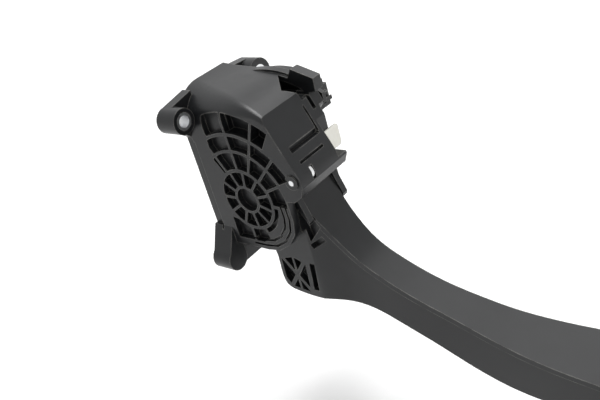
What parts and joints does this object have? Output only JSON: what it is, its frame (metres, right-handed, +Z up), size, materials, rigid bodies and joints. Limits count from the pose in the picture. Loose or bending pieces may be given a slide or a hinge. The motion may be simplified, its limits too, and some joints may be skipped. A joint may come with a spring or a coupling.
{
  "type": "accelerator pedal",
  "caption": "Hanging electronic accelerator pedal: ribbed black housing with bolt-on ears, far-side position sensor and connector, and a curved sprung arm.",
  "frame": {"origin": "on the mounting face, level with the pivot, in the arm's centre plane", "axes": "+X out of the mounting face towards the driver, +Y along the pivot axis towards the sensor side, +Z up along the flange"},
  "size_m": [0.268, 0.0815, 0.1629],
  "materials": {
    "black_nylon": "matt moulded",
    "zinc_steel": "zinc plated",
    "bright_steel": "ground",
    "acetal": "satin",
    "rubber": "matt",
    "ferrite": "matt",
    "spring_steel": "drawn",
    "board_laminate": "satin",
    "chip_epoxy": "matt",
    "tinned_brass": "tinned"
  },
  "bodies": {
    "base": {"housing": "black_nylon", "sensor_cover": "black_nylon", "mount_sleeves": "zinc_steel", "cross_pin": "zinc_steel", "cover_clip": "zinc_steel", "cover_screws": "zinc_steel", "pivot_bushes": "acetal", "rest_bumper": "rubber", "cover_gasket": "rubber", "outer_spring": "spring_steel", "inner_spring": "spring_steel", "sensor_board": "board_laminate", "sensor_chip": "chip_epoxy", "connector_terminals": "tinned_brass"},
    "pedal": {"pedal_arm": "black_nylon", "pivot_shaft": "bright_steel", "retaining_ring": "spring_steel", "magnet_holder": "black_nylon", "sensor_magnet": "ferrite", "spring_seat": "black_nylon"}
  },
  "joints": [
    {"name": "pedal_swing", "type": "hinge", "parent": "base", "child": "pedal", "pos_m": [0.036, 0, 0], "axis": [0, 1, 0], "range_deg": [0, 18], "stiffness_Nm_per_rad": 15, "springref_deg": -11.46, "deforming": ["outer_spring", "inner_spring"]}
  ]
}
